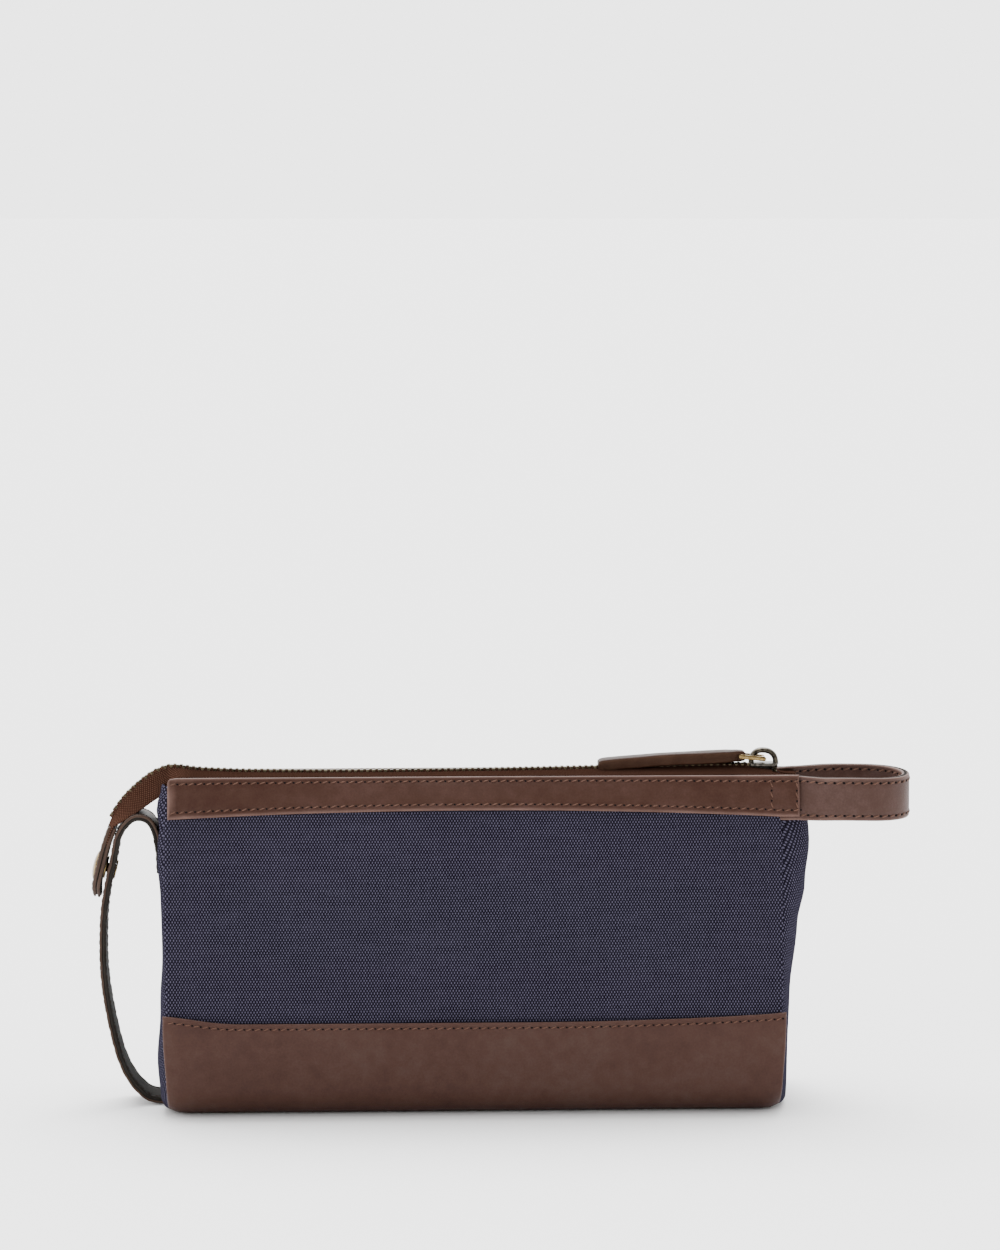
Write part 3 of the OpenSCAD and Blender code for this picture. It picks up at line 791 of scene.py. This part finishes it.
zipper = {"pitch": 2.5, "tooth": (1.42, 3.05, 2.5), "tape": 0.7, "inner": 2.5, "cord": 0.85, "outer": 12.95,
          "width": 10.6,
          "tailTop": -129.0, "split": -143.0, "leftOpen": -78.0, "rightOpen": 70.0, "end": 127.2}
chainPoints = [(127.5, 141.0), (119.4, 142.2), (108, 142.5), (94, 142.3), (72, 141.8), (36, 141.1),
               (0, 140.6), (-52, 140.3), (-90, 140.6), (-104, 141.0),
               (-116, 141.7), (-126.5, 142.9), (-132.1, 141.6), (-137.1, 138.9), (-142.7, 134.3),
               (-146.9, 130.1),
               (-151.0, 124.6), (-153.6, 119.6), (-155.1, 115.2), (-156.3, 111), (-157.4, 107)]
chainAt, chainLength = routeOf(splineThrough([(x, 0, z) for x, z in chainPoints], 10))


def chainWhere(x):  # length along the chain at which it reaches a given x
    low, high = 0.0, chainLength
    for _ in range(40):
        s = (low + high) / 2
        low, high = (s, high) if chainAt(s)[0].x > x else (low, s)
    return low


tailStart, tailEnd = chainWhere(-130), chainWhere(-153.6)


def tapeMid(side):
    def mid(u, v):  # u along the chain, v from the teeth to the outer edge
        p, heading = chainAt(u)
        inward = Vector((-heading.z, 0, heading.x))
        f = v / zipper["width"]
        flat = Vector((p.x, side * mixed(zipper["inner"], zipper["outer"], f),
                       mixed(p.z - 0.1, 139.7, clamped(f) ** 0.8)))
        t = clamped((u - tailStart) / (tailEnd - tailStart))
        droop = math.radians(mixed(80, 12, t ** 3.4))
        width = mixed(10.8, 8.2, t)
        across, drop, count = 0.0, 0.0, 8
        for k in range(count):
            a = droop * mixed(0.55, 1.2, (k + 0.5) / count)
            across += math.cos(a) * width * f / count
            drop += math.sin(a) * width * f / count
        hung = p + Vector((0, side * (zipper["inner"] + across), 0)) + inward * (drop + 0.3)
        return flat.lerp(hung, eased((-123.5 - p.x) / 9))
    return mid


def zipSegment(side, name, s0, s1):
    mid = tapeMid(side)
    vs = [0, 0.15, 0.5, 1.2, 3, 5, 7, 9, 10.1, 10.45, zipper["width"]]
    tape = sheetPiece(name + "Tape", mid, spread(s0, s1, 2.5, (0.2, 0.6)), vs, zipper["tape"],
                      [tapeCloth] * 3, side,
                      edgeOf=lambda u, v: min(v, zipper["width"] - v) + 0.05)
    return tape


def edgeCord(side, name, s0, s1):  # the tape is woven over a cord where the teeth grip it
    stations, count, r = span(s0, s1, 1.6), 10, zipper["cord"]
    points, faces, uvs = [], [], []
    for s in stations:
        p, heading = chainAt(s)
        out = Vector((heading.z, 0, -heading.x)).normalized()
        for k in range(count):
            a = 2 * math.pi * k / count
            points.append(p + Vector((0, side * (zipper["inner"] - 0.75) + math.cos(a) * r * 1.3, 0))
                          + out * math.sin(a) * r)
            uvs.append((s, a * r))
    for i in range(len(stations) - 1):
        faces += ringFaces(i, count)
    last = (len(stations) - 1) * count
    faces += [tuple(range(count)), tuple(range(last, last + count))]
    return makePiece(name + "Cord", points, faces, [tapeCloth], None, uvs)


def teethRow(side, name, s0, s1):
    # Teeth sit half a pitch apart on the two sides, so the rows mesh.
    pitch, reach = zipper["pitch"], zipper["tooth"][1]
    first = math.ceil((s0 - (pitch / 2 if side > 0 else 0)) / pitch) * pitch + (pitch / 2
            if side > 0 else 0)
    count = int((s1 - first) / pitch)
    row = []
    for i in range(count * 2 + 1):
        s = first + i * pitch / 2
        p, heading = chainAt(s)
        out = Vector((heading.z, 0, -heading.x)).normalized()
        row.append((p + Vector((0, side * (reach / 2 - 0.25), 0)), out))
    sizes = zipper["tooth"]
    return alongRows(name + "Teeth", [row], toothTree, {
        "Pitch": pitch * mm, "Tooth Length": sizes[0] * mm, "Tooth Reach": sizes[1] * mm,
        "Tooth Height": sizes[2] * mm, "Tooth Material": teethBrass})


def mouthZip():
    starts = [chainWhere(x)
              for x in (zipper["end"], zipper["rightOpen"], zipper["leftOpen"], zipper["tailTop"])]
    firstTooth = chainWhere(119.6)
    for side, lip, tapeNode, teethNode in ((-1, "front_lip", "front_zip_tape", "front_zip_teeth"),
                                           (1, "rear_lip", "rear_zip_tape", "rear_zip_teeth")):
        label = "front" if side < 0 else "rear"
        for part, s0, s1 in zip(("Right", "Middle", "Left"), starts, starts[1:]):
            tape, cord = zipSegment(side, label + part, s0, s1), edgeCord(side, label + part, s0, s1)
            teeth = teethRow(side, label + part, max(s0, firstTooth), s1)
            for piece, slot, node in ((tape, "zip_tape", tapeNode), (cord, "zip_tape", tapeNode),
                                      (teeth, "zip_teeth", teethNode)):
                if part == "Middle":
                    ridePiece(piece, lip, slot, node)
                elif part == "Right":
                    bendPiece(piece, (lip, "bag"), (zipper["rightOpen"], 0, 140), (122, 0, 140), slot)
                else:
                    bendPiece(piece, ("bag", lip), (-127, 0, 140), (zipper["leftOpen"], 0, 140), slot)


def tailZip():
    top, split, end = chainWhere(zipper["tailTop"]), chainWhere(zipper["split"]), chainWhere(-156.4)
    lastTooth = chainWhere(-152.6)
    for side, tapeNode in ((-1, "tail_front_tape"), (1, "tail_rear_tape")):
        label = "tailFront" if side < 0 else "tailRear"
        for part, s0, s1, last in (("Upper", top, split, split), ("Lower", split, end, lastTooth)):
            pieces = [(zipSegment(side, label + part, s0, s1), "zip_tape", tapeNode),
                      (edgeCord(side, label + part, s0, last), "zip_tape", tapeNode),
                      (teethRow(side, label + part, s0, last), "zip_teeth", "tail_teeth")]
            for piece, slot, node in pieces:
                if part == "Upper":
                    bendPiece(piece, ("bag", "zip_tail"), (-129.5, 0, 142), (-136.5, 0, 139), slot, node)
                else:
                    bendPiece(piece, ("zip_tail", "snap_tab"), (-151.2, 0, 124.4), (-153.8, 0, 118.6), slot)


def endTapes():
    for side in (-1, 1):
        low, high = zipper["end"] - 0.6, 138.6
        mid = lambda u, v: Vector((u, side * v,
                                   139.9 - 1.8 * eased((u - low) / 8) + 0.12 * wander(u, v, 3, 5)))
        piece = sheetPiece("endTapeFront" if side < 0 else "endTapeRear", mid,
                           spread(low, high, 2, (0.2, 0.6)),
                           spread(1.8, 12.9, 2, (0.2, 0.6)), zipper["tape"], [tapeCloth] * 3, side)
        ridePiece(piece, "bag", "zip_tape", *(["zip_end_tapes"] if side < 0 else []))


# Straps: a ribbon is swept along a route, with its width square to the route's plane

def ribbonMid(at, wide, offset, shape=None):
    def mid(u, v):
        p, heading = at(u)
        out = heading.cross(wide).normalized()
        p = p + wide * v + out * offset
        return shape(p, u, v) if shape else p
    return mid


strap = {"width": 22.0, "outer": 1.3, "row": 2.0, "pitch": 3.6}
strapPoints = [(2.2, 99), (2.5, 108), (4.4, 117.5), (7, 121.2), (10.6, 122.7), (14.8, 121.2), (19.6, 114.6),
               (21.8, 104), (24.1, 94),
               (26, 81), (26.5, 65), (25.8, 51.6), (23.7, 38), (20.6, 24), (17.4, 15), (13.6, 8.6),
               (9.3, 4.1),
               (6, 2.4), (3.2, 1.9), (-1.5, 1.8)]


def sideStrap():
    at, length = routeOf(splineThrough([(-bag["halfLength"] - a, 0, b) for a, b in strapPoints], 6))
    wide, half = Vector((0, 1, 0)), strap["width"] / 2

    def ripple(p, u, v):  # the stitched edges pucker a little
        edge = clamped((abs(v) - half + 3) / 3)
        return p + Vector((0.12, 0, 0.04)) * edge * math.sin(2 * math.pi * u / strap["pitch"] * 0.5)

    us, vs = spread(0, length, 2.2), spread(-half, half, 2.5,
                                            (0.12, 0.35, 0.7, 1.2, strap["row"], strap["row"] + 0.7))
    dent = lambda u, v: 0.16 * math.exp(-((half - abs(v) - strap["row"]) / 0.45) ** 2)
    outward = ribbonMid(at, wide, 0.67, ripple)
    inward = ribbonMid(at, wide, -0.67, ripple)
    if (at(length / 2)[1].cross(wide)).x > 0:
        outward, inward = inward, outward
    for name, mid, material, node, slot, face in (
            ("sideStrap", outward, strapLeather, "side_strap", "brown_leather", -1),
            ("sideStrapLining", inward, fleshSide, "side_strap_lining", "dark_leather", 1)):
        middle = normalAt(mid, length / 2, 0)
        turn = 1 if middle.x * face > 0 else -1
        piece = sheetPiece(name, mid, us, vs, strap["outer"], [material, material, fleshSide], turn, 0.2,
                           dent=dent)
        ridePiece(piece, "bag", slot, node)
        rows = [rowOn(mid, [(u, v) for u in span(2.5, length - 6)], strap["outer"] / 2 - 0.08, turn)
                for v in (-half + strap["row"], half - strap["row"])]
        stitches(name + "Stitches", rows, "bag", slot, strap["pitch"], darkThread)


loop = {"width": 18.2, "thick": 1.6, "radius": 17.4, "reach": 186.6, "row": 2.1, "pitch": 3.8,
        "centre": 130.1, "start": 125.0}


def carryLoop():
    r, turnX = loop["radius"], loop["reach"] - loop["radius"] - loop["thick"] - 0.1
    front = [(loop["start"], -14.2), (131.5, -14.2), (138.0, -14.3), (146, -15.9), (155, -17.1),
             (turnX - 3, -r)]
    round_ = [(turnX + r * math.cos(a), r * math.sin(a))
              for a in (math.radians(d) for d in range(-80, 81, 10))]
    whole = front + round_ + [(x, -y) for x, y in front[::-1]]
    at, length = routeOf(splineThrough([(x, y, loop["centre"]) for x, y in whole], 5))
    wide, half = Vector((0, 0, 1)), loop["width"] / 2

    def leaning(p, u, v):  # beside the bag the legs lean as the bands do, and the rear leg rides higher
        side = -1 if p.y < 0 else 1
        stand = eased((p.x - 137.5) / 14)
        leaned = side * (wallHalf(bag["halfLength"], p.z) - 1.5) - side * (14.2 - abs(p.y))
        lift = mixed(-0.5 * eased((p.x - 136) / 14), 1.1 * eased((p.x - 124) / 14),
                     eased((p.y + r) / (2 * r)))
        sag = 0.3 * math.sin(u / length * math.pi * 3) * eased((p.x - 140) / 20)
        return Vector((p.x, mixed(leaned, p.y, stand), p.z + lift + sag))

    us, vs = spread(0, length, 2.2), spread(-half, half, 2.2,
                                            (0.12, 0.35, 0.7, 1.2, loop["row"], loop["row"] + 0.6))
    dent = lambda u, v: 0.2 * math.exp(-((half - abs(v) - loop["row"]) / 0.45) ** 2)
    for name, offset, material, node, away in (("carryLoop", 0.81, loopLeather, "loop_outer", 1),
                                               ("carryLoopLining", -0.82, loopLeather, "loop_lining", -1)):
        mid = ribbonMid(at, wide, offset, leaning)
        turn = 1 if normalAt(mid, length / 2, 0).x * away > 0 else -1
        # The paler patches at x 151 and 186 on the loop are painted highlights.
        piece = sheetPiece(name, mid, us, vs, loop["thick"], [material, cutEdge, fleshSide], turn,
                           dent=dent,
                           rubbedAndSheen=lambda u,
                           v: 0.9 * sum(math.exp(-((at(u)[0].x - x) / w) ** 2) for x,
                                        w in ((151, 5), (186, 5))))
        nodes = [node, "loop_anchors"] if away > 0 else [node]
        bendPiece(piece, ("bag", "carry_loop"), (138.5, 0, 130), (150, 0, 130), "brown_leather", *nodes)
        rows = [rowOn(mid, [(u, v) for u in span(3, length - 3)], loop["thick"] / 2 - 0.08, turn)
                for v in (-half + loop["row"], half - loop["row"])]
        sewn = stitches(name + "Stitches", rows, None, None, loop["pitch"], tan, 0.7, 2.9)
        bendPiece(sewn, ("bag", "carry_loop"), (138.5, 0, 130), (150, 0, 130), "brown_leather")


# Tail tab, which hangs on the zip's tail and snaps to the side strap

tab = {"cap": (-159.0, 101.2), "lean": 14.0, "top": 18.2, "bottom": -12.6, "width": 22.0, "layer": 1.75,
       "row": 2.0}


def tabMid(level, flare=0.0):
    lean = math.radians(tab["lean"])
    up, out = Vector((math.sin(lean), 0, math.cos(lean))), Vector((-math.cos(lean), 0, math.sin(lean)))
    centre = Vector((tab["cap"][0], 0, tab["cap"][1]))
    half = tab["width"] / 2

    def mid(u, v):  # u from the lower end up, v across
        away = u - tab["bottom"]
        wide = half if away >= half else math.sqrt(max(0.01, half * half - (half - away) ** 2))
        wide *= 1 - 0.1 * eased((u - 8) / 10)
        curl = -0.03 * max(0.0, -5 - u) ** 2 - 0.007 * max(0.0, u - 6) ** 2
        crown = 0.25 * (1 - (v / half) ** 2)
        opened = -flare * eased((u - 5) / 13)
        return centre + up * u + Vector((0, v / half * wide, 0)) + out * (level + curl + crown + opened)
    return mid


def tailTab():
    half = tab["width"] / 2
    us = sorted(set(spread(tab["bottom"] + 0.05, tab["top"], 2, (0.15, 0.4, 0.8, 1.4, 2.1))))
    vs = spread(-half, half, 2.2, (0.15, 0.45, 0.9, 1.5, 2.0, 2.7))

    def edgeOf(u, v):
        away = u - tab["bottom"]
        wide = half if away >= half else math.sqrt(max(0.0, half * half - (half - away) ** 2))
        return min(away, tab["top"] - u, (half - abs(v)) * max(0.15, wide / half))

    for name, level, node, sewn in (("tabOuter", -0.9, "tab_outer", True),
                                    ("tabInner", -2.75, "tab_inner", False)):
        mid = tabMid(level, 0 if sewn else 0.1)
        turn = 1 if normalAt(mid, 5, 0).x < 0 else -1
        piece = sheetPiece(name, mid, us, vs, tab["layer"], [strapLeather, strapLeather, fleshSide], turn,
                           0.25, edgeOf=edgeOf)
        ridePiece(piece, "snap_tab", "brown_leather", node)
        if sewn:
            inner = half - tab["row"]
            route = [(u, inner) for u in span(-1.6, tab["top"] - 1.5)][::-1]
            route += [(tab["bottom"] + half - inner * math.sin(a),
                       half * math.cos(a) * 0.999 * inner / half /
                       max(0.3, math.sqrt(max(0.01, 1 - (inner * math.sin(a) / half) ** 2))))
                      for a in (math.radians(d) for d in range(5, 176, 10))]
            route += [(u, -inner) for u in span(-1.6, tab["top"] - 1.5)]
            route = [(u, max(-half + 0.3, min(half - 0.3, v))) for u, v in route]
            stitches("tabStitches", [rowOn(mid, route, tab["layer"] / 2 - 0.08, turn)], "snap_tab",
                     "brown_leather", 3.3, darkThread)


# Pull: a strip of hide folded round the link, glued and burnished

pull = {"half": 5.0, "thick": 2.6, "fold": 2.75}
pullPoints = [(53.6, 142.7), (60, 143.3), (67, 143.9), (74.5, 144.5), (86, 145.2), (97.6, 145.7),
              (107, 146.1),
              (112, 146.5), (114.3, 146.4), (116.7, 146.1)]


def leatherPull():
    at, length = routeOf(splineThrough([(x, 0, z) for x, z in pullPoints], 6))
    stations, corners = spread(0, length, 2.0, (0.15, 0.4, 0.8, 1.4, 2.2)), 28
    points, faces, uvs, wear = [], [], [], []
    for s in stations:
        p, heading = at(s)
        out = Vector((-heading.z, 0, heading.x))
        out = out if out.z > 0 else -out
        left, right = clamped(s / 3.4), clamped((length - s) / 2.3)
        neck = eased((p.x - 109.5) / 3.6)
        half = mixed(pull["half"], pull["fold"], neck) * (1 - 0.34 * (1 - math.sqrt(1 - (1 - left) ** 2)))
        thick = mixed(pull["thick"], 2.3,
                      eased((p.x - 107) / 5)) * math.sqrt(max(0.02, 1 - (1 - right) ** 2))
        thick *= mixed(0.5, 1, math.sqrt(1 - (1 - left) ** 2))
        for k in range(corners):
            a = 2 * math.pi * k / corners
            c, sn = math.cos(a), math.sin(a)
            y = math.copysign(abs(c) ** 0.28, c) * half
            z = math.copysign(abs(sn) ** 0.42, sn) * thick
            z += 0.16 * wander(p.x * 2.2, y, z, 3.0) * eased((p.x - 105) / 6) + 0.08 * wander(p.x, y, z, 9)
            points.append(p + Vector((0, y, 0)) + out * z)
            uvs.append((s, a * half))
            # Paler colour along the strip's edges: edge wear with a painted edge highlight.
            wear.append(clamped(1.2 - abs(abs(c) - 0.93) * 9) * 0.8)
    n = corners
    for i in range(len(stations) - 1):
        faces += ringFaces(i, n)
    faces += [tuple(range(n)), tuple(range((len(stations) - 1) * n, len(stations) * n))]
    piece = makePiece("leatherPull", points, faces, [pullLeather], None, uvs, wear)
    ridePiece(piece, "pull", "brown_leather", "leather_pull")


# Hard pieces keep their CAD shapes, with their sharp edges eased

def easedNode(node, material, slot, width=0.18):
    source = frame["nodes"][node]
    mesh = source.data.copy()
    bm = bmesh.new()
    bm.from_mesh(mesh)
    bmesh.ops.remove_doubles(bm, verts=bm.verts, dist=1e-6)
    bmesh.ops.dissolve_limit(bm, angle_limit=math.radians(1), verts=bm.verts, edges=bm.edges)
    bm.to_mesh(mesh)
    bm.free()
    mesh.materials.clear()
    mesh.materials.append(material)
    mesh.shade_smooth()
    words = node.split("_")
    piece = bpy.data.objects.new(words[0] + "".join(w.capitalize() for w in words[1:]), mesh)
    bpy.context.scene.collection.objects.link(piece)
    bevel = piece.modifiers.new("eased", "BEVEL")
    bevel.width, bevel.segments, bevel.angle_limit = width * mm, 2, math.radians(38)
    bevel.harden_normals = False
    done = bpy.data.meshes.new_from_object(piece.evaluated_get(bpy.context.evaluated_depsgraph_get()))
    piece.modifiers.clear()
    piece.data = done
    done.shade_smooth()
    return ridePiece(piece, source["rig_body"], slot, node)


crown = {"thick": 1.2, "wide": 2.0,
         "arch": [(118.9, 142.8), (119.0, 145.0), (119.9, 147.2), (121.8, 148.5), (124.0, 148.75),
                                        (126.4, 148.3), (128.3, 146.9), (129.2, 144.9), (129.4, 142.8)]}


def sliderCrown():
    line = splineThrough([(x, 0, z) for x, z in crown["arch"]], 6)
    at, length = routeOf(line)
    points, faces, count = [], [], 20
    stations = span(0, length, 0.5)
    for s in stations:
        p, heading = at(s)
        out = Vector((-heading.z, 0, heading.x))
        for k in range(count):
            a = 2 * math.pi * k / count
            points.append(p + out * math.cos(a) * crown["thick"]
                          + Vector((0, math.sin(a) * crown["wide"], 0)))
    for i in range(len(stations) - 1):
        faces += ringFaces(i, count)
    last = (len(stations) - 1) * count
    faces += [tuple(range(count)), tuple(range(last, last + count))]
    ridePiece(makePiece("sliderCrown", points, faces, [crownMetal]), "slider", "slider_metal",
              "slider_crown")


cap = [(0.01, 1.65), (1.6, 1.6), (3.2, 1.42), (4.6, 1.1), (5.6, 0.7), (6.1, 0.42), (6.2, 0.2), (6.0, -0.02),
       (2.0, -0.05),
       (2.0, -2.2), (0.01, -2.2)]  # radius and height of the cap's outline


def snapCap():
    lean, count = math.radians(tab["lean"]), 40
    up, out = Vector((math.sin(lean), 0, math.cos(lean))), Vector((-math.cos(lean), 0, math.sin(lean)))
    centre, points, faces = Vector((tab["cap"][0], 0, tab["cap"][1])), [], []
    for r, h in cap:
        points += [centre + out * h + (up * math.cos(a) + Vector((0, 1, 0)) * math.sin(a)) * r
                   for a in (2 * math.pi * k / count for k in range(count))]
    for i in range(len(cap) - 1):
        faces += ringFaces(i, count)
    last = (len(cap) - 1) * count
    faces += [tuple(range(count)), tuple(range(last, last + count))]
    ridePiece(makePiece("snapCap", points, faces, [paleBrass]), "snap_tab", "pale_brass", "snap_cap")


def hardware():
    sliderCrown()
    snapCap()
    for node, material, slot, width in (
            ("slider_body", sliderMetal, "slider_metal", 0.25),
            ("pull_link", paleBrass, "pale_brass", 0.25), ("top_stops", teethBrass, "zip_teeth", 0.15),
            ("bottom_stop", teethBrass, "zip_teeth", 0.15),
            ("snap_socket", paleBrass, "pale_brass", 0.15), ("snap_stud", paleBrass, "pale_brass", 0.1),
            ("snap_eyelet", paleBrass, "pale_brass", 0.15), ("pull_rivet", paleBrass, "pale_brass", 0.12),
            ("base_board", fibreboard, "base_board", 0.4)):
        if node in frame["nodes"]:
            easedNode(node, material, slot, width)


canvasWalls()
gussets()
print("canvas made")
linings()
baseCover()
bands()
print("leather body made")
mouthZip()
tailZip()
endTapes()
print("zip made")
sideStrap()
carryLoop()
tailTab()
leatherPull()
hardware()
print("straps and hardware made")


# Floor, light and camera

studio = {"floor": "#eeeeee", "back": 3.45, "front": 0.75, "key": 6.4, "fill": 1.3}


def studioSet():
    bpy.ops.mesh.primitive_plane_add(size=4000, location=(0, 0, 0))
    floor = bpy.context.object
    floor.name = "floor"
    material, tree, shader = newMaterial("paleFloor", Roughness=0.9)
    shader.inputs["Base Color"].default_value = linearColour(studio["floor"])
    shader.inputs["Specular IOR Level"].default_value = 0.1
    floor.data.materials.append(material)
    world = bpy.data.worlds.new("studio")
    bpy.context.scene.world = world
    world.use_nodes = True
    tree = world.node_tree
    heading = addNode(tree, "ShaderNodeSeparateXYZ",
                      {0: addNode(tree, "ShaderNodeTexCoord").outputs["Generated"]}).outputs[1]
    strength = addNode(tree, "ShaderNodeMapRange",
                       {0: heading, 1: -0.5, 2: 0.2, 3: studio["front"], 4: studio["back"]},
                       interpolation_type="SMOOTHSTEP").outputs[0]
    tree.links.new(strength, tree.nodes["Background"].inputs[1])
    tree.nodes["Background"].inputs[0].default_value = (1, 1, 1, 1)
    for name, power, direction, spreadAngle in (("key", studio["key"], (0.06, -0.5, -1.0), 45),
                                                ("fill", studio["fill"], (0.8, 0.8, -0.35), 30)):
        lamp = bpy.data.lights.new(name, "SUN")
        lamp.energy, lamp.angle = power, math.radians(spreadAngle)
        holder = bpy.data.objects.new(name, lamp)
        holder.rotation_mode = "QUATERNION"
        holder.rotation_quaternion = Vector(direction).to_track_quat("-Z", "Y")
        bpy.context.scene.collection.objects.link(holder)


view = {"place": (-0.0634, -1.8043, 0.3743), "down": 5.43, "right": 2.39, "lens": 123.4}


def camera():
    data = bpy.data.cameras.new("camera")
    data.lens, data.sensor_width, data.clip_start, data.clip_end = view["lens"], 36, 0.05, 3000
    holder = bpy.data.objects.new("camera", data)
    bpy.context.scene.collection.objects.link(holder)
    down, right = math.radians(view["down"]), math.radians(view["right"])
    ahead = Vector((math.sin(right) * math.cos(down), math.cos(right) * math.cos(down), -math.sin(down)))
    holder.location = view["place"]
    holder.rotation_mode = "QUATERNION"
    holder.rotation_quaternion = ahead.to_track_quat("-Z", "Y")
    bpy.context.scene.camera = holder


studioSet()
camera()
